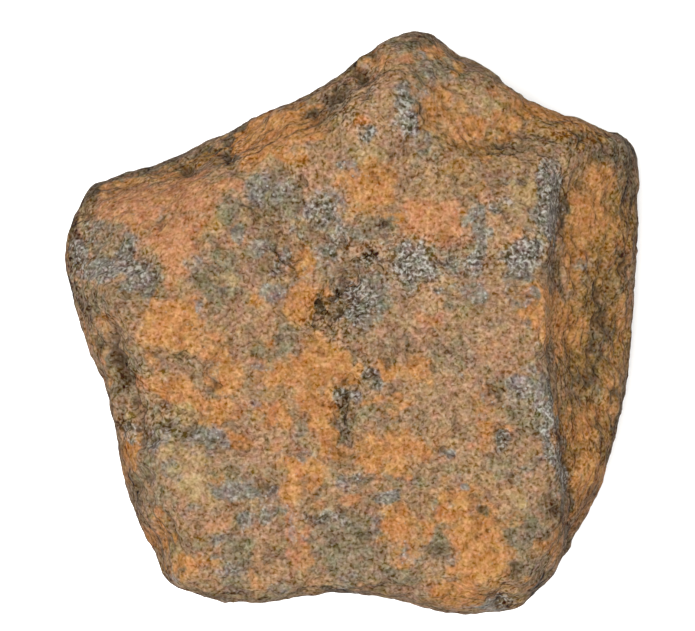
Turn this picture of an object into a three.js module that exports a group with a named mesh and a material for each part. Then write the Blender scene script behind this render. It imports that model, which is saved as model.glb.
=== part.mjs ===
// A whole, uncut meteorite stone, weathered to rust, lying on its flattest side.
// Millimetres, +Z up. +Y points to the peak of the outline and +X to the stone's long right flank.
// The origin is on the surface that the stone rests on, under the middle of its outline.
// The surface is found by sending rays out of a flat core until they leave the rock.

import * as THREE from "three";
import { ImprovedNoise } from "three/addons/math/ImprovedNoise.js";
import { mergeVertices } from "three/addons/utils/BufferGeometryUtils.js";

// Overall form
const FACE_HEIGHT = 40.5; // the broad upper face, near its middle
const WAIST_HEIGHT = 13; // where the stone is widest
const WAIST_CURVE = 0.0015; // how much the sides draw in above and below the waist, per mm
const WORN_OFF = 0.3; // what wear has taken off the outline below
const WAIST_CALM = 0.6; // share of the relief that the waist lacks, as the outline has it already
const WAIST_REACH = 9; // how far above and below the waist that calm spreads
const EDGE_ROUNDING = 3.6; // how far a worn edge between two faces spreads

// Mesh: rays and where they start
const RAY_DETAIL = 21; // gives 20 * (detail + 1)^2 triangles
const RAY_LIFT = 0.25; // crowds the rays towards the upper face
const CORE_HEIGHT = 18;
const CORE_RADIUS = 16;
const RAY_LENGTH = 80;
const RAY_HALVINGS = 26;
const BASE_SNAP = 1e-4; // points this close to the resting plane are on it

// The outline at the waist, anticlockwise from the peak
const OUTLINE = [
  [9.8, 45.2],
  [4.2, 43.0],
  [-3.4, 37.8],
  [-11.8, 34.4],
  [-21.3, 29.8],
  [-31.7, 25.3],
  [-38.8, 22.8],
  [-43.0, 18.4],
  [-45.3, 10.5],
  [-43.2, 2.4],
  [-39.8, -6.4],
  [-37.0, -14.5],
  [-36.0, -24.5],
  [-33.0, -33.0],
  [-27.7, -40.1],
  [-20.0, -43.5],
  [-11.0, -43.0],
  [-1.0, -42.2],
  [9.0, -44.0],
  [18.0, -46.0],
  [25.5, -45.3],
  [30.6, -41.4],
  [35.3, -34.6],
  [41.2, -22.1],
  [44.0, -8.7],
  [45.4, 6.5],
  [46.1, 21.4],
  [44.3, 28.6],
  [36.2, 31.0],
  [26.8, 33.8],
  [19.4, 40.8],
  [14.2, 44.5],
];
const OUTLINE_STEPS = 720; // angles at which its radius is worked out

// Worn fracture faces. Each passes through a point, faces a compass angle (degrees from +X
// towards +Y) and leans back by a tilt: 0 looks straight up, 90 sideways, over 90 downwards.
const FACES = [
  { name: "broad face", through: [6, 0, FACE_HEIGHT], facing: 300, tilt: 1 },
  { name: "left of the broad face", through: [-14, 4, FACE_HEIGHT - 0.2], facing: 172, tilt: 9 },
  { name: "lower part of the broad face", through: [2, -20, FACE_HEIGHT - 0.3], facing: 264, tilt: 8 },
  { name: "upper part of the broad face", through: [2, 18, FACE_HEIGHT - 0.1], facing: 98, tilt: 11 },
  { name: "smooth face by the peak", through: [18, 30, FACE_HEIGHT - 4.2], facing: 58, tilt: 19 },
  { name: "upper left slope", through: [-20, 25.5, FACE_HEIGHT - 6], facing: 117, tilt: 52 },
  { name: "slope left of the peak", through: [-2, 35, FACE_HEIGHT - 7], facing: 128, tilt: 48 },
  { name: "left slope", through: [-42, 8, FACE_HEIGHT - 9.5], facing: 186, tilt: 62 },
  { name: "lower left slope", through: [-35.5, -14, FACE_HEIGHT - 8.5], facing: 198, tilt: 62 },
  { name: "right flank", through: [30.4, 0, FACE_HEIGHT - 2.6], facing: 359, tilt: 55 },
  { name: "upper right corner", through: [33, 28, FACE_HEIGHT - 8], facing: 62, tilt: 50 },
  { name: "lower right slope", through: [31, -34, FACE_HEIGHT - 7], facing: 325, tilt: 60 },
  { name: "lower slope", through: [2, -42, FACE_HEIGHT - 6], facing: 270, tilt: 60 },
  { name: "underside left", through: [-23, 0, 0], facing: 187, tilt: 153 },
  { name: "underside lower left", through: [-19, -20, 0], facing: 232, tilt: 158 },
  { name: "underside bottom", through: [2, -24, 0], facing: 266, tilt: 149 },
  { name: "underside lower right", through: [21, -21, 0], facing: 318, tilt: 152 },
  { name: "underside right", through: [27, 2, 0], facing: 4, tilt: 149 },
  { name: "underside upper right", through: [22, 21, 0], facing: 44, tilt: 153 },
  { name: "underside by the peak", through: [4, 25, 0], facing: 84, tilt: 141 },
  { name: "underside upper left", through: [-14, 16, 0], facing: 122, tilt: 147 },
];

// Swellings and hollows of the upper face: a rise is above 0, a sinking below it.
const HUMMOCKS = [
  { name: "spine under the peak", at: [5, 31], radius: 8, rise: 1.6 },
  { name: "glossy boss", at: [2.3, 20], radius: 6, rise: 1.2 },
  { name: "right boss", at: [20.4, -2.7], radius: 7, rise: 1.1 },
  { name: "ridge strip", at: [25.5, 14], radius: 7, rise: 1.2 },
  { name: "lower left boss", at: [-24, -24], radius: 9, rise: 1.8 },
  { name: "bottom swelling", at: [16, -30], radius: 9, rise: 1.2 },
  { name: "upper left shoulder", at: [-31, 15], radius: 10, rise: 1.0 },
  { name: "grey dip below the shoulder", at: [-34, 8], radius: 7, rise: -0.9 },
  { name: "V-shaped dip", at: [-10, 17], radius: 7, rise: -1.4 },
  { name: "dip round the middle pit", at: [-1, 5], radius: 9, rise: -1.5 },
  { name: "dip beside the groove", at: [5, -14], radius: 6, rise: -1.1 },
  { name: "left hollow", at: [-26, -6], radius: 5, rise: -1.3 },
  { name: "dip above the lower left boss", at: [-22.5, -17], radius: 5, rise: -1.2 },
  { name: "lower middle dip", at: [-3, -34], radius: 9, rise: -1.2 },
  { name: "bottom right dip", at: [25, -34], radius: 7, rise: -1.0 },
  { name: "flank hollow", at: [38, -5], radius: 8, rise: -1.6 },
  { name: "flank swelling", at: [38, 14], radius: 7, rise: 0.8 },
  { name: "lower flank swelling", at: [37, -19], radius: 6, rise: 0.8 },
];

// Steps: the skin lies lower by a drop on the right of a path, seen along it, and comes back
// level over a reach.
const STEPS = [
  {
    name: "step beside the right ridge",
    drop: 2.4,
    edge: 2.2,
    reach: 12,
    path: [[31.6, -38], [31.9, -26], [30.5, -16], [29.7, -8.6], [29, -1.2], [29.4, 6.2], [30.8, 24]],
  },
  {
    name: "step down to the smooth face",
    drop: 1.9,
    edge: 2.2,
    reach: 14,
    path: [[27.5, 26.6], [20, 25], [14.5, 26], [11.2, 28.7], [9.0, 34]],
  },
  {
    name: "step down to the upper left slope",
    drop: 1.6,
    edge: 2,
    reach: 7,
    path: [[-9, 27.6], [-18.4, 24.6], [-25, 22.8], [-36, 19.4]],
  },
  {
    name: "step down to the lower left boss",
    drop: 1.5,
    edge: 2.2,
    reach: 8,
    path: [[-18, -20.5], [-21, -15.6], [-27, -14.8], [-32, -18.6]],
  },
];

// Grooves and ridges along a path: a rise is above 0, a cut below it.
const LINES = [
  { name: "middle pit", rise: -3.2, width: 2.7, path: [[-4.8, 1], [-2.6, 2.6], [-0.6, 4.6]] },
  { name: "tail of the middle pit", rise: -1.6, width: 2, path: [[-0.6, 4.6], [2.9, 9.5], [4.9, 14.3]] },
  { name: "upright groove", rise: -2.3, width: 2, path: [[-1.1, -10.5], [-0.9, -14.5], [-0.6, -18]] },
  { name: "ledge by the groove", rise: -1, width: 1.9, path: [[0.5, -10.2], [7.5, -9.2]] },
  { name: "curved ridge", rise: 1.2, width: 2.4, path: [[0.4, -22], [7, -20.6], [11.8, -16]] },
  { name: "left ridge", rise: 1.5, width: 2.4, path: [[-35, 3.2], [-27.7, -7.6], [-21, -13.4]] },
  { name: "inner left ridge", rise: 1.2, width: 2.2, path: [[-27, -2.6], [-18.8, -7.9], [-18.6, -13]] },
  { name: "arc by the boss", rise: -1.2, width: 2.1, path: [[-18.8, -23.4], [-13.7, -23.9], [-11, -27]] },
  { name: "left notch", rise: -1.9, width: 2.2, path: [[-35.3, -1.9], [-34.3, -6.4], [-33, -11]] },
  { name: "peak hollows", rise: -1.8, width: 2.2, path: [[-6.5, 30.6], [-1.8, 33.4], [2, 37]] },
  { name: "edge of the V", rise: -1.1, width: 1.9, path: [[-14.6, 18.4], [-12.2, 14.8], [-9.2, 10.2]] },
];

// Small round pits
const PITS = [
  { at: [22.3, -17.2], radius: 2.1, depth: 1.7 },
  { at: [21.3, -10.4], radius: 2.1, depth: 1.4 },
  { at: [13.2, -33.6], radius: 2.5, depth: 1.5 },
  { at: [18.9, -28.0], radius: 2.0, depth: 1.3 },
  { at: [8.6, -4.2], radius: 2.1, depth: 1.5 },
  { at: [22.4, -40.0], radius: 2.2, depth: 1.3 },
  { at: [-9.0, 8.8], radius: 2.0, depth: 1.1 },
  { at: [-13.5, -1.4], radius: 2.1, depth: 1.1 },
];

// Shallow hollows in the sides and the underside, each round a point in space
const SIDE_HOLLOWS = [
  { at: [-19, -45, 15], radius: 9, depth: 1.9 },
  { at: [4, -44, 11], radius: 10, depth: 2.2 },
  { at: [22, -47, 17], radius: 8, depth: 1.6 },
  { at: [43, -19, 9], radius: 8, depth: 2.0 },
  { at: [46, 9, 5], radius: 8, depth: 1.8 },
  { at: [34, 33, 9], radius: 9, depth: 2.2 },
  { at: [20, 41, 19], radius: 7, depth: 1.5 },
  { at: [6, 46, 10], radius: 7, depth: 1.6 },
  { at: [-10, 36, 9], radius: 9, depth: 2.2 },
  { at: [-28, 28, 9], radius: 9, depth: 2.0 },
  { at: [-46, 6, 12], radius: 9, depth: 1.9 },
  { at: [-38, -19, 16], radius: 9, depth: 1.8 },
  { at: [-29, -9, 4], radius: 9, depth: 1.8 },
  { at: [13, -34, 4], radius: 9, depth: 1.7 },
  { at: [35, -8, 5], radius: 9, depth: 1.6 },
  { at: [25, 29, 4], radius: 9, depth: 1.7 },
  { at: [-7, 28, 6], radius: 8, depth: 1.8 },
  { at: [-27, 14, 4], radius: 9, depth: 1.6 },
];

// Weathered relief over the whole stone: broad waves, and hummocks with creases between them
const WAVES = [
  { wavelength: 22, height: 1.5 },
  { wavelength: 6.5, height: 0.5 },
];
const CREASED = { wavelength: 15, height: 2.2 };
const FEATURE_FADE = [14, 24]; // the named features fade out between these heights

const stoneMaterial = new THREE.MeshStandardMaterial({
  name: "weathered_stone",
  color: 0x9c7c5d,
  roughness: 0.78,
  metalness: 0.0,
});

// Radius of the outline at equal steps of angle round the origin.
function outlineRadii() {
  const points = OUTLINE.map(([x, y]) => new THREE.Vector3(x, y, 0));
  const curve = new THREE.CatmullRomCurve3(points, true, "centripetal");
  const polar = curve
    .getPoints(OUTLINE_STEPS * 4)
    .map((p) => ({ angle: Math.atan2(p.y, p.x), radius: Math.hypot(p.x, p.y) }));
  const radii = [];
  for (let step = 0; step < OUTLINE_STEPS; step += 1) {
    const angle = (step / OUTLINE_STEPS) * 2 * Math.PI - Math.PI;
    let nearest = polar[0];
    for (const sample of polar) {
      if (Math.abs(sample.angle - angle) < Math.abs(nearest.angle - angle)) nearest = sample;
    }
    radii.push(nearest.radius);
  }
  return radii;
}

const radii = outlineRadii();

function outlineRadius(angle) {
  const place = ((angle + Math.PI) / (2 * Math.PI)) * OUTLINE_STEPS;
  const before = Math.floor(place);
  const share = place - before;
  const low = radii[before % OUTLINE_STEPS];
  const high = radii[(before + 1) % OUTLINE_STEPS];
  return low + (high - low) * share;
}

// A face as a plane: its outward normal and its distance from the origin.
function planeOf({ through, facing, tilt }) {
  const turn = THREE.MathUtils.degToRad(facing);
  const lean = THREE.MathUtils.degToRad(tilt);
  const normal = new THREE.Vector3(
    Math.sin(lean) * Math.cos(turn),
    Math.sin(lean) * Math.sin(turn),
    Math.cos(lean),
  );
  return { normal, distance: normal.dot(new THREE.Vector3(...through)) };
}

const planes = FACES.map(planeOf);

// The larger of two values, with the corner between them rounded off.
function roundedMax(a, b, rounding) {
  const overlap = Math.max(rounding - Math.abs(a - b), 0) / rounding;
  return Math.max(a, b) + (overlap * overlap * rounding) / 4;
}

// Distance from x, y to a path, above 0 on the right of it and below 0 on the left.
function sideOfPath(x, y, path) {
  let nearest = Infinity;
  let side = 1;
  for (let i = 1; i < path.length; i += 1) {
    const [ax, ay] = path[i - 1];
    const [bx, by] = path[i];
    const [dx, dy] = [bx - ax, by - ay];
    const along = ((x - ax) * dx + (y - ay) * dy) / (dx * dx + dy * dy);
    const share = THREE.MathUtils.clamp(along, 0, 1);
    const distance = Math.hypot(x - ax - share * dx, y - ay - share * dy);
    if (distance < nearest) {
      nearest = distance;
      side = Math.sign((x - ax) * dy - (y - ay) * dx) || 1;
    }
  }
  return nearest * side;
}

// How far past the two ends of a path x, y lies, measured along the path.
function beyondEnds(x, y, path) {
  const ends = [[path[0], path[1]], [path.at(-1), path.at(-2)]];
  return Math.max(
    ...ends.map(([[ex, ey], [ix, iy]]) => {
      const length = Math.hypot(ex - ix, ey - iy);
      return ((x - ex) * (ex - ix) + (y - ey) * (ey - iy)) / length;
    }),
  );
}

const bell = (distance, width) => Math.exp(-((distance / width) ** 2));

// Height of the named features over the upper face at x, y.
function featureHeight(x, y) {
  let height = 0;
  for (const { at, radius, rise } of HUMMOCKS) {
    height += rise * bell(Math.hypot(x - at[0], y - at[1]), radius);
  }
  for (const { path, width, rise } of LINES) {
    height += rise * bell(sideOfPath(x, y, path), width);
  }
  for (const { path, drop, edge, reach } of STEPS) {
    const side = sideOfPath(x, y, path);
    const fallen = THREE.MathUtils.smoothstep(side, -edge / 2, edge / 2);
    const level = 1 - THREE.MathUtils.smoothstep(side, edge, reach);
    const inside = 1 - THREE.MathUtils.smoothstep(beyondEnds(x, y, path), -reach / 3, reach / 3);
    height -= drop * fallen * level * inside;
  }
  for (const { at, radius, depth } of PITS) {
    height -= depth * bell(Math.hypot(x - at[0], y - at[1]), radius);
  }
  return height;
}

const noise = new ImprovedNoise();

function noiseAt(p, wavelength) {
  return noise.noise(p.x / wavelength + 7.3, p.y / wavelength + 3.1, p.z / wavelength + 11.7);
}

function reliefHeight(p) {
  let height = CREASED.height * (Math.abs(noiseAt(p, CREASED.wavelength)) - 0.25);
  for (const wave of WAVES) height += wave.height * noiseAt(p, wave.wavelength);
  return height;
}

// Below zero inside the rock, above zero outside it.
function depthOf(p) {
  const side = Math.hypot(p.x, p.y) - outlineRadius(Math.atan2(p.y, p.x));
  let outside = side + WORN_OFF + WAIST_CURVE * (p.z - WAIST_HEIGHT) ** 2;
  for (const { normal, distance } of planes) {
    outside = roundedMax(outside, normal.dot(p) - distance, EDGE_ROUNDING);
  }
  const upper = THREE.MathUtils.smoothstep(p.z, ...FEATURE_FADE);
  const calm = 1 - WAIST_CALM * bell(p.z - WAIST_HEIGHT, WAIST_REACH);
  let raised = calm * reliefHeight(p) + upper * featureHeight(p.x, p.y);
  for (const { at, radius, depth } of SIDE_HOLLOWS) {
    raised -= depth * bell(Math.hypot(p.x - at[0], p.y - at[1], p.z - at[2]), radius);
  }
  return Math.max(outside - raised, -p.z);
}

// The point where a ray out of the core leaves the rock.
function surfacePoint(direction) {
  const start = new THREE.Vector3(direction.x * CORE_RADIUS, direction.y * CORE_RADIUS, CORE_HEIGHT);
  const point = new THREE.Vector3();
  let near = 0;
  let far = RAY_LENGTH;
  for (let halving = 0; halving < RAY_HALVINGS; halving += 1) {
    const middle = (near + far) / 2;
    point.copy(start).addScaledVector(direction, middle);
    if (depthOf(point) < 0) near = middle;
    else far = middle;
  }
  if (point.z < BASE_SNAP) point.z = 0;
  return point;
}

function stoneGeometry() {
  const geometry = new THREE.IcosahedronGeometry(1, RAY_DETAIL);
  geometry.deleteAttribute("normal");
  geometry.deleteAttribute("uv");
  const merged = mergeVertices(geometry, 1e-5);
  const position = merged.getAttribute("position");
  const direction = new THREE.Vector3();
  for (let i = 0; i < position.count; i += 1) {
    direction.fromBufferAttribute(position, i).normalize();
    const lifted = direction.z + RAY_LIFT * (1 - direction.z ** 2);
    const sideways = Math.max(Math.hypot(direction.x, direction.y), 1e-9);
    const spread = Math.sqrt(Math.max(1 - lifted ** 2, 0)) / sideways;
    direction.set(direction.x * spread, direction.y * spread, lifted).normalize();
    position.setXYZ(i, ...surfacePoint(direction));
  }
  merged.computeBoundingBox();
  const middle = merged.boundingBox.getCenter(new THREE.Vector3());
  merged.translate(-middle.x, -middle.y, 0);
  merged.computeVertexNormals();
  return merged;
}

const stone = new THREE.Mesh(stoneGeometry(), stoneMaterial);
stone.name = "meteorite_stone";

const part = new THREE.Group();
part.add(stone);

export default part;
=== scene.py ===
# A weathered meteorite stone on a pale table, seen from straight above.
# Blender works in metres. Places and sizes in the dictionaries are millimetres unless noted.
from math import cos, radians, sin

import bmesh
import bpy
import numpy as np
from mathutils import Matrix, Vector, noise


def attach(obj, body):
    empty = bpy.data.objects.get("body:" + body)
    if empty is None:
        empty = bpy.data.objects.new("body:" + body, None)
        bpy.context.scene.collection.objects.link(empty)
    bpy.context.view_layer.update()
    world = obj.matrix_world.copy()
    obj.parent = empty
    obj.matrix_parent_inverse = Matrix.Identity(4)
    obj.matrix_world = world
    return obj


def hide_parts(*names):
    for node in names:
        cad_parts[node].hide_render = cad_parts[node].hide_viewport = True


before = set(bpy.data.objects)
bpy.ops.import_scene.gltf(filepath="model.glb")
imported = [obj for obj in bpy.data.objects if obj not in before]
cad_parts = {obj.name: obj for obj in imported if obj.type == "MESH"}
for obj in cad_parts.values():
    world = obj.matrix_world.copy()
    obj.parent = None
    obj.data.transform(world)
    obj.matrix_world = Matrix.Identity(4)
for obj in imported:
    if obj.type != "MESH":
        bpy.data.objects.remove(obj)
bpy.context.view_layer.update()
mm = 0.001


def smoothStep(low, high, values):
    share = np.clip((values - low) / (high - low), 0.0, 1.0)
    return share * share * (3.0 - 2.0 * share)


def noiseAt(points, wavelength, shift):
    return np.array([noise.noise(Vector(p)) for p in points / wavelength + shift])


# rounded knobs parted by narrow creases, about -0.5 to 0.5
def creasedAt(points, wavelength, shift):
    stretch, middle = 1.8, 0.45
    return np.abs(noiseAt(points, wavelength, shift)) * stretch - middle


# two noises side by side, which bend places on the plan
def waverAt(points, wavelength, *shifts):
    return np.stack([noiseAt(points, wavelength, shift) for shift in shifts], axis=1)


view = {
    "name": "cameraAbove",
    "place": (-1.007, 1.311, 455.0),  # the lens, looking straight down
    "lens": 145.9,
    "sensor": 36.0,
    "nearest": 10.0,
    "planLevel": 12.0,  # height at which places on the plan are true
}


def addCamera():
    lens = bpy.data.cameras.new(view["name"])
    lens.lens = view["lens"]
    lens.sensor_width = view["sensor"]
    lens.clip_start = view["nearest"] * mm
    camera = bpy.data.objects.new(view["name"], lens)
    camera.location = Vector(view["place"]) * mm
    bpy.context.scene.collection.objects.link(camera)
    bpy.context.scene.camera = camera


# where points show on the plan that the lens sees
def planOf(points):
    lens = np.array(view["place"])
    reach = (lens[2] - view["planLevel"]) / (lens[2] - points[:, 2:3])
    return lens[:2] + (points[:, :2] - lens[:2]) * reach


addCamera()
print("camera placed")


stone = {
    "name": "weathered_meteorite",
    "node": "meteorite_stone",
    "mergeWithin": 0.01,  # joins the loose triangles of the plain stone
    "cuts": 2,  # each triangle becomes 9
    "upperTilt": 0.42,  # faces that look up more than this become 36
    "smoothing": (6, 0.5),  # passes that round the facets, and how far each goes
    "relief": [  # wavelength, height and noise shift of each layer, and whether creases part it
        (9.0, 0.30, 5.0, False),
        (4.2, 0.45, 9.0, True),
        (2.1, 0.36, 15.0, True),
        (1.0, 0.22, 27.0, False),
    ],
    # a tilt is how far a face looks up, from 1 for the top to -1 for the underside
    "rimTilt": (0.8, 0.25),  # the relief fades from the first to the second
    "rimCalm": 0.45,  # how much it fades there
    "salmonCalm": 0.5,  # and how much on salmon crust
    "footTilt": (-0.75, -0.97),  # the underside is lifted here, so that little of it is on the table
    "footLift": 0.35,
    "seenTilt": (0.0, 0.35),  # hollows and cracks begin at the first and are whole at the second
    "waver": (1.7, 71.0, 83.0),  # wavelength and noise shifts of what bends them
    "hollowBend": 1.6,
    "crackBend": 0.8,
    "hollowFall": 1.2,  # how steeply their walls fall
    "crackFall": 1.4,
    "crackGaps": (3.1, 44.0),  # wavelength and noise shift of where cracks close up
    "crackGapEdge": (-0.35, 0.25),
    "thinnest": 0.45,  # shares of its width and depth that a crack keeps there
    "shallowest": 0.25,
    "bulges": [  # on the plan: x, y, radius, height, for the outline and the knobs by the middle pit
        (2.7, 43.2, 3.0, -1.45), (6.0, 45.0, 2.2, -0.6), (12.0, 45.3, 2.0, 0.4), (10.3, 46.0, 2.0, 0.4),
        (19.5, 41.2, 2.5, 0.3), (23.9, 37.7, 1.8, -0.4), (29.2, 34.5, 2.0, 0.25), (24.9, 35.2, 4.0, 1.1),
        (21.6, 39.9, 2.0, 0.3), (32.3, 33.2, 2.5, -0.4), (39.5, 30.6, 2.5, -0.5), (44.5, 25.5, 3.5, 0.35),
        (44.8, 21.6, 2.0, 0.15), (44.6, 18.5, 3.0, -0.5), (44.2, 8.8, 4.0, 0.4), (43.9, 3.0, 3.0, 0.2),
        (41.9, -14.1, 3.0, 0.3), (41.1, -17.2, 2.5, 0.15), (38.2, -26.8, 3.0, 0.3),
        (33.1, -36.1, 2.0, 0.15), (21.0, -45.3, 3.0, -0.4), (7.3, -43.5, 3.0, -0.25),
        (-3.0, -42.5, 6.5, -0.7), (-5.2, -42.4, 1.5, 0.2), (-8.4, -42.6, 2.0, -0.5),
        (-17.1, -44.1, 6.0, -0.45), (-25.0, -42.6, 1.8, -0.3), (-28.6, -40.4, 3.2, 1.25),
        (-31.8, -34.0, 3.0, -1.0), (-34.8, -28.0, 4.0, -0.2), (-37.1, -19.9, 3.5, 0.4),
        (-36.8, -15.9, 3.5, 1.05), (-40.3, -9.6, 3.0, -0.8), (-45.5, 10.9, 3.0, -0.3),
        (-41.5, 21.4, 3.0, 0.9), (-23.0, 28.9, 4.0, 0.4), (-13.9, 33.3, 2.5, 0.3),
        (-9.1, 35.3, 2.2, -0.25), (-0.8, 40.6, 2.4, -0.5), (-5.8, 37.0, 4.0, -0.6),
        (16.0, 42.6, 2.0, -0.4), (4.0, -42.7, 3.0, -0.3), (0.6, 6.4, 1.7, 0.9), (1.9, 8.6, 1.7, 0.9),
        (3.2, 11.6, 1.7, 0.7), (-1.1, -10.8, 1.7, 0.9), (-1.0, -13.4, 1.7, 0.9), (-0.8, -16.6, 1.7, 0.9),
        (-4.9, 1.1, 2.2, 1.0), (-2.8, 2.8, 2.2, 1.2), (-0.7, 4.9, 2.2, 1.4), (4.9, 14.9, 1.8, 0.6),
    ],
    "hollows": [  # on the plan: x, y, radius, depth
        (-5.6, 0.9, 0.7, 0.8), (-4.9, 2.8, 0.8, 0.9), (-2.1, 1.7, 0.9, 0.9), (-0.6, 5.2, 0.6, 0.8),
        (4.6, 15.4, 0.9, 0.8), (2.4, 10.5, 0.8, 0.9), (1.4, 38.5, 0.9, 1.0), (-3.0, 36.2, 1.6, 1.1),
        (-6.0, 33.0, 1.1, 0.8), (-19.8, 26.1, 0.9, 1.2), (-26.3, 24.5, 1.1, 1.2), (-30.5, 23.9, 1.4, 0.9),
        (-38.8, 21.7, 0.9, 0.8), (-42.1, 17.4, 0.9, 0.8), (-43.7, 13.8, 0.9, 0.8), (-43.2, 9.7, 0.9, 0.8),
        (-41.2, 1.9, 0.9, 0.8), (-40.9, -2.9, 0.9, 0.7), (-37.6, -0.7, 0.6, 0.7), (-37.1, -6.0, 1.1, 1.0),
        (-35.7, -8.8, 1.1, 1.0), (-1.3, -11.8, 1.0, 0.5), (5.2, -5.4, 0.8, 0.6), (2.2, -8.2, 0.9, 0.7),
        (12.3, -7.3, 0.8, 0.5), (14.6, -20.6, 0.8, 0.7), (24.9, -23.9, 0.8, 0.6), (31.8, -29.0, 0.9, 0.7),
        (26.8, -31.8, 0.9, 0.5), (25.8, -38.4, 1.1, 0.6), (22.7, -43.4, 1.3, 0.8),
        (-13.5, -26.0, 1.1, 0.5), (1.9, -33.7, 1.4, 0.7), (0.0, -30.2, 0.9, 0.5), (-22.5, -9.5, 0.9, 0.7),
        (-30.5, -4.9, 0.9, 0.5), (-26.4, -6.6, 0.9, 0.5), (-15.6, -5.7, 0.8, 0.5),
        (-11.5, -1.9, 1.1, 0.6), (-31.8, 5.8, 1.1, 0.5), (-30.7, 15.4, 0.8, 0.5), (-8.2, 22.3, 0.8, 0.8),
        (0.2, 25.0, 0.8, 0.5), (-1.4, 12.4, 0.8, 0.5), (-35.7, -15.9, 0.9, 0.7), (-32.1, -18.4, 0.9, 0.6),
        (-34.3, -25.4, 0.9, 0.7), (-23.3, -19.2, 1.1, 0.5), (23.8, 27.8, 0.9, 0.7),
        (30.1, 26.9, 0.9, 0.5), (35.6, 29.4, 1.1, 0.8), (39.5, 27.2, 1.1, 0.8), (43.0, 24.5, 1.1, 0.8),
        (42.2, 9.3, 1.1, 0.7), (39.2, 0.9, 1.4, 0.8), (37.1, -6.5, 1.4, 0.8), (38.7, -15.9, 1.1, 0.6),
        (32.4, 18.7, 0.8, 0.7), (32.7, 15.1, 0.8, 0.8), (32.9, -20.2, 0.8, 0.6), (33.5, -27.4, 0.9, 0.7),
        (34.0, -34.3, 0.9, 0.6), (11.2, 6.9, 0.6, 0.4), (15.9, 23.4, 0.6, 0.4), (-8.5, 12.4, 0.8, 0.5),
        (-12.4, 14.0, 0.6, 0.6),
    ],
    "cracks": [  # on the plan: half width, depth, corners
        # under the dark rim
        (0.7, 0.5, [(-42.8, 22.0), (-38.7, 23.6), (-33.6, 24.0), (-29.6, 24.8), (-25.8, 25.8),
                    (-22.0, 27.0)]),
        # down the left edge
        (0.8, 0.8, [(-37.9, 0.9), (-37.4, -3.3), (-36.2, -7.6), (-34.3, -12.0), (-33.3, -17.0),
                    (-32.9, -23.0), (-31.8, -28.5)]),
        # beside the right ridge
        (0.7, 0.75, [(33.0, 24.8), (32.9, 19.5), (32.4, 14.4), (31.2, 11.3), (30.7, 7.7)]),
        (0.6, 0.6, [(31.0, -3.3), (31.3, -9.6), (32.1, -15.9), (32.9, -21.4), (33.7, -27.7),
                    (34.5, -33.2)]),
        # over the middle pit, and the groove below it
        (0.5, 0.6, [(-6.7, -0.7), (-5.6, 2.5), (-3.6, 4.0), (-1.7, 4.6)]),
        (0.4, 0.6, [(-3.9, -0.2), (-2.6, 1.4), (-0.9, 2.0)]),
        (0.4, 0.6, [(-0.7, 6.6), (-0.3, 4.4), (0.7, 3.0)]),
        (0.5, 0.6, [(-1.0, -12.6), (-1.1, -14.3), (-0.9, -16.2)]),
        (0.5, 0.4, [(-0.3, -10.7), (2.8, -10.4), (7.6, -9.8), (11.2, -8.5)]),
        (0.4, 0.5, [(1.1, -5.2), (1.9, -7.6), (2.5, -10.1)]),
        # the upper shelf and its corner
        (0.5, 0.15, [(15.4, 27.3), (19.8, 26.9), (23.8, 27.5), (27.7, 27.3), (31.8, 28.0)]),
        (0.4, 0.5, [(22.5, 21.4), (23.0, 22.3), (25.2, 22.6), (26.9, 22.5)]),
        # short nicks and ledges
        (0.4, 0.65, [(-18.5, 21.1), (-16.7, 18.9), (-14.5, 17.0), (-11.3, 14.9)]),
        (0.6, 0.5, [(-32.7, -4.4), (-29.2, -5.1), (-24.2, -5.5)]),
        (0.4, 0.5, [(-11.8, 14.8), (-11.6, 11.6), (-11.3, 8.8)]),
        (0.5, 0.7, [(-19.0, 28.6), (-19.5, 26.6), (-20.1, 24.8)]),
        (0.4, 0.4, [(1.0, -28.0), (4.1, -27.4), (8.0, -26.5)]),
        (0.4, 0.2, [(-32.1, -11.4), (-28.1, -13.2), (-23.6, -15.1), (-20.7, -15.8)]),
        (0.4, 0.4, [(12.9, 9.7), (15.9, 9.3), (21.0, 9.9)]),
        (0.5, 0.4, [(-32.1, -27.7), (-29.2, -30.9), (-27.7, -34.8)]),
        (0.6, 0.7, [(-0.3, 39.9), (1.3, 38.0), (1.9, 35.5)]),
        (0.8, 0.6, [(39.7, 11.6), (38.7, 5.3), (38.1, -1.0), (36.8, -7.6), (36.2, -12.0)]),
    ],
}

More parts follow.
